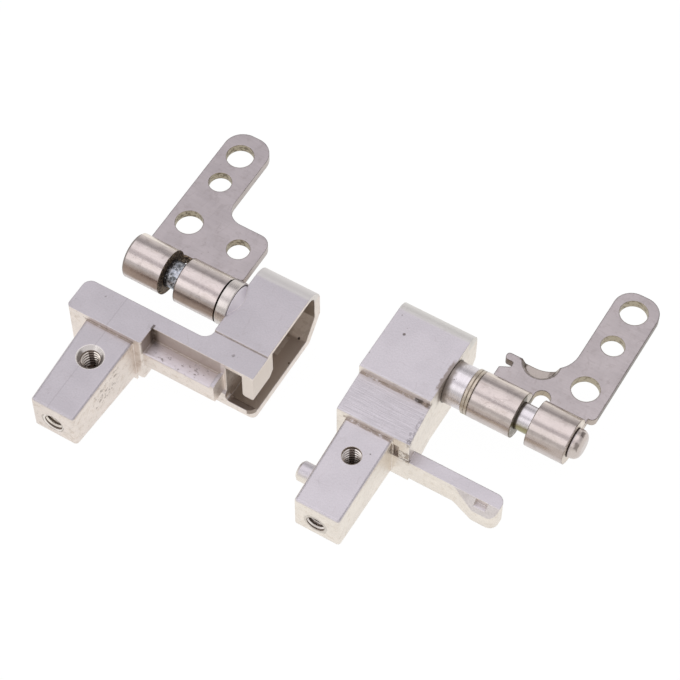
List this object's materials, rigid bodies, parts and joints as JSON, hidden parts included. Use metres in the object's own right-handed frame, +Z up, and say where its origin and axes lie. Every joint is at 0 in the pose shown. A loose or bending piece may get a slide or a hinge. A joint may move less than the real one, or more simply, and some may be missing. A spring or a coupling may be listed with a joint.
{
  "type": "laptop hinge pair",
  "caption": "Left and right laptop lid hinges: cast bases with threaded posts hold steel shafts on which rolled sheet leaves with screw holes turn.",
  "frame": {"origin": "on the table, under the centre of the pair's outline", "axes": "+X along both shafts from the left hinge to the right one, +Y the way the open leaves point, +Z up"},
  "size_m": [0.0532, 0.044, 0.0095],
  "materials": {
    "cast_zinc": "satin",
    "plated_steel": "satin",
    "turned_steel": "satin",
    "ground_steel": "satin"
  },
  "bodies": {
    "bases": {"left_base": "cast_zinc", "left_shaft": "turned_steel", "left_collar": "ground_steel", "right_base": "cast_zinc", "right_shaft": "turned_steel", "right_inner_washer": "ground_steel", "right_outer_washer": "ground_steel"},
    "left_leaf": {"left_leaf": "plated_steel"},
    "right_leaf": {"right_leaf": "plated_steel"}
  },
  "joints": [
    {"name": "left_lid_hinge", "type": "hinge", "parent": "bases", "child": "left_leaf", "pos_m": [-0.01176, -0.00175, 0.00695], "axis": [1, 0, 0], "range_deg": [0, 165]},
    {"name": "right_lid_hinge", "type": "hinge", "parent": "bases", "child": "right_leaf", "pos_m": [0.0114, 0.00255, 0.0055], "axis": [1, 0, 0], "range_deg": [0, 165]}
  ]
}
